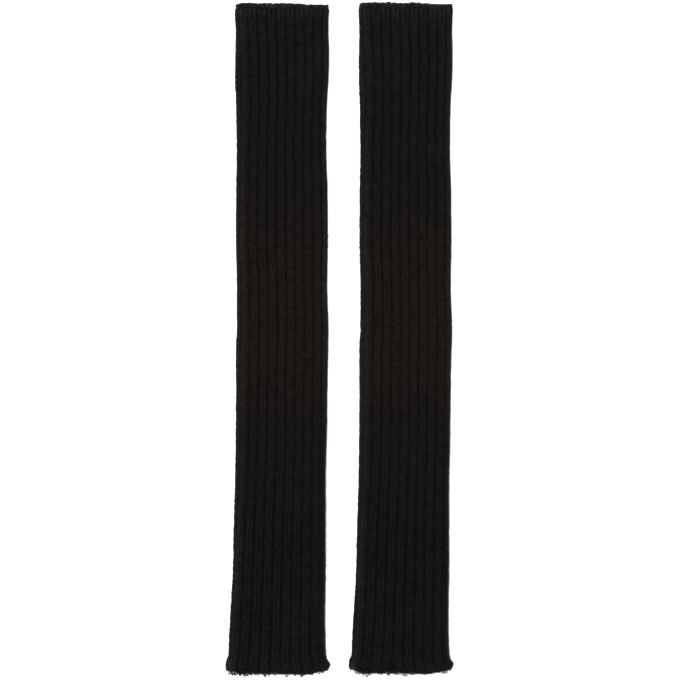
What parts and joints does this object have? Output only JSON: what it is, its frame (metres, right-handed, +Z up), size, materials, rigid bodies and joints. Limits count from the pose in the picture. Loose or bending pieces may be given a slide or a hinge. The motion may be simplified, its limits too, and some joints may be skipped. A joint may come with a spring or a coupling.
{
  "type": "pair of arm warmers",
  "caption": "Long rib-knitted arm warmers laid flat side by side: open knitted tubes with a fine ribbed start band and a looped, slightly flared cast-off edge.",
  "frame": {"origin": "middle of the pair's bounding box, on the surface that it lies on", "axes": "+Y runs up the arm warmers towards the start bands, +X runs across the pair, +Z points up from the surface"},
  "size_m": [0.197, 0.5862, 0.0065],
  "materials": {
    "rib_knit": "matte black wool rib knit",
    "start_band_knit": "matte black wool, fine rib",
    "cast_off_yarn": "matte black wool yarn loops"
  },
  "bodies": {
    "root": {"left_rib_tube": "rib_knit", "left_start_band": "start_band_knit", "left_cast_off_edge": "cast_off_yarn", "right_rib_tube": "rib_knit", "right_start_band": "start_band_knit", "right_cast_off_edge": "cast_off_yarn"}
  },
  "joints": []
}
